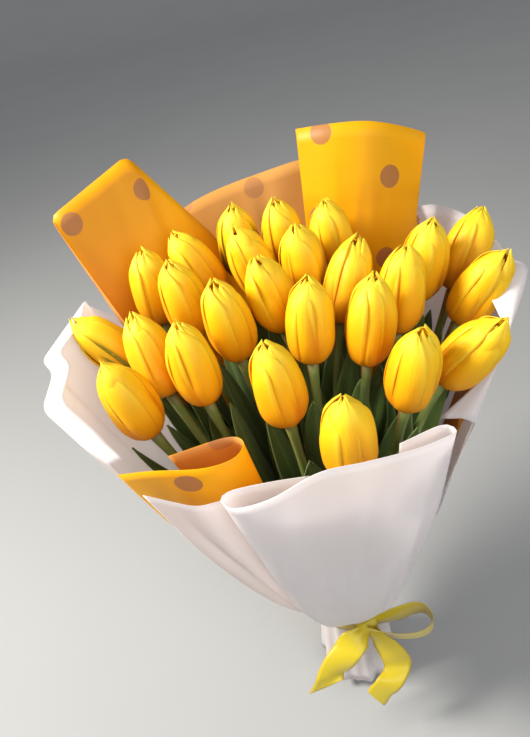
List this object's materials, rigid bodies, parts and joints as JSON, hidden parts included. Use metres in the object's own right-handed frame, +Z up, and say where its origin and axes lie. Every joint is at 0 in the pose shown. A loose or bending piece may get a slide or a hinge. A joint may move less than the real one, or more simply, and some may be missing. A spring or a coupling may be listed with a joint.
{
  "type": "tulip bouquet",
  "caption": "Hand-tied bouquet of long-stemmed cup-shaped flowers with clasping leaves, in dotted and frosted film wraps gathered at the neck by a satin bow.",
  "frame": {"origin": "the middle of the stems where a hand holds the bouquet, 28 mm under the middle of the ribbon's band", "axes": "+Z up the bouquet from the grip to the flowers, -Y its front, +X to the right of someone looking at the front"},
  "size_m": [0.3406, 0.296, 0.4971],
  "materials": {
    "petal": "satin",
    "leaf_green": "satin",
    "yellow_film": "matte",
    "white_film": "matte",
    "satin": "satin"
  },
  "bodies": {
    "root": {"ribbon_bow": "satin", "tulip_01_flower": "petal", "tulip_01_stem_and_leaf": "leaf_green", "tulip_02_flower": "petal", "tulip_02_stem_and_leaf": "leaf_green", "tulip_03_flower": "petal", "tulip_03_stem_and_leaf": "leaf_green", "tulip_04_flower": "petal", "tulip_04_stem_and_leaf": "leaf_green", "tulip_05_flower": "petal", "tulip_05_stem_and_leaf": "leaf_green", "tulip_06_flower": "petal", "tulip_06_stem_and_leaf": "leaf_green", "tulip_07_flower": "petal", "tulip_07_stem_and_leaf": "leaf_green", "tulip_08_flower": "petal", "tulip_08_stem_and_leaf": "leaf_green", "tulip_09_flower": "petal", "tulip_09_stem_and_leaf": "leaf_green", "tulip_10_flower": "petal", "tulip_10_stem_and_leaf": "leaf_green", "tulip_11_flower": "petal", "tulip_11_stem_and_leaf": "leaf_green", "tulip_12_flower": "petal", "tulip_12_stem_and_leaf": "leaf_green", "tulip_13_flower": "petal", "tulip_13_stem_and_leaf": "leaf_green", "tulip_14_flower": "petal", "tulip_14_stem_and_leaf": "leaf_green", "tulip_15_flower": "petal", "tulip_15_stem_and_leaf": "leaf_green", "tulip_16_flower": "petal", "tulip_16_stem_and_leaf": "leaf_green", "tulip_17_flower": "petal", "tulip_17_stem_and_leaf": "leaf_green", "tulip_18_flower": "petal", "tulip_18_stem_and_leaf": "leaf_green", "tulip_19_flower": "petal", "tulip_19_stem_and_leaf": "leaf_green", "tulip_20_flower": "petal", "tulip_20_stem_and_leaf": "leaf_green", "tulip_21_flower": "petal", "tulip_21_stem_and_leaf": "leaf_green", "tulip_22_flower": "petal", "tulip_22_stem_and_leaf": "leaf_green", "tulip_23_flower": "petal", "tulip_23_stem_and_leaf": "leaf_green", "tulip_24_flower": "petal", "tulip_24_stem_and_leaf": "leaf_green", "tulip_25_flower": "petal", "tulip_25_stem_and_leaf": "leaf_green", "white_film_front": "white_film", "white_film_front_left": "white_film", "white_film_left": "white_film", "white_film_right": "white_film", "yellow_film_back": "yellow_film", "yellow_film_front_left": "yellow_film", "yellow_film_front_right": "yellow_film", "yellow_film_left": "yellow_film", "yellow_film_right": "yellow_film"}
  },
  "joints": []
}
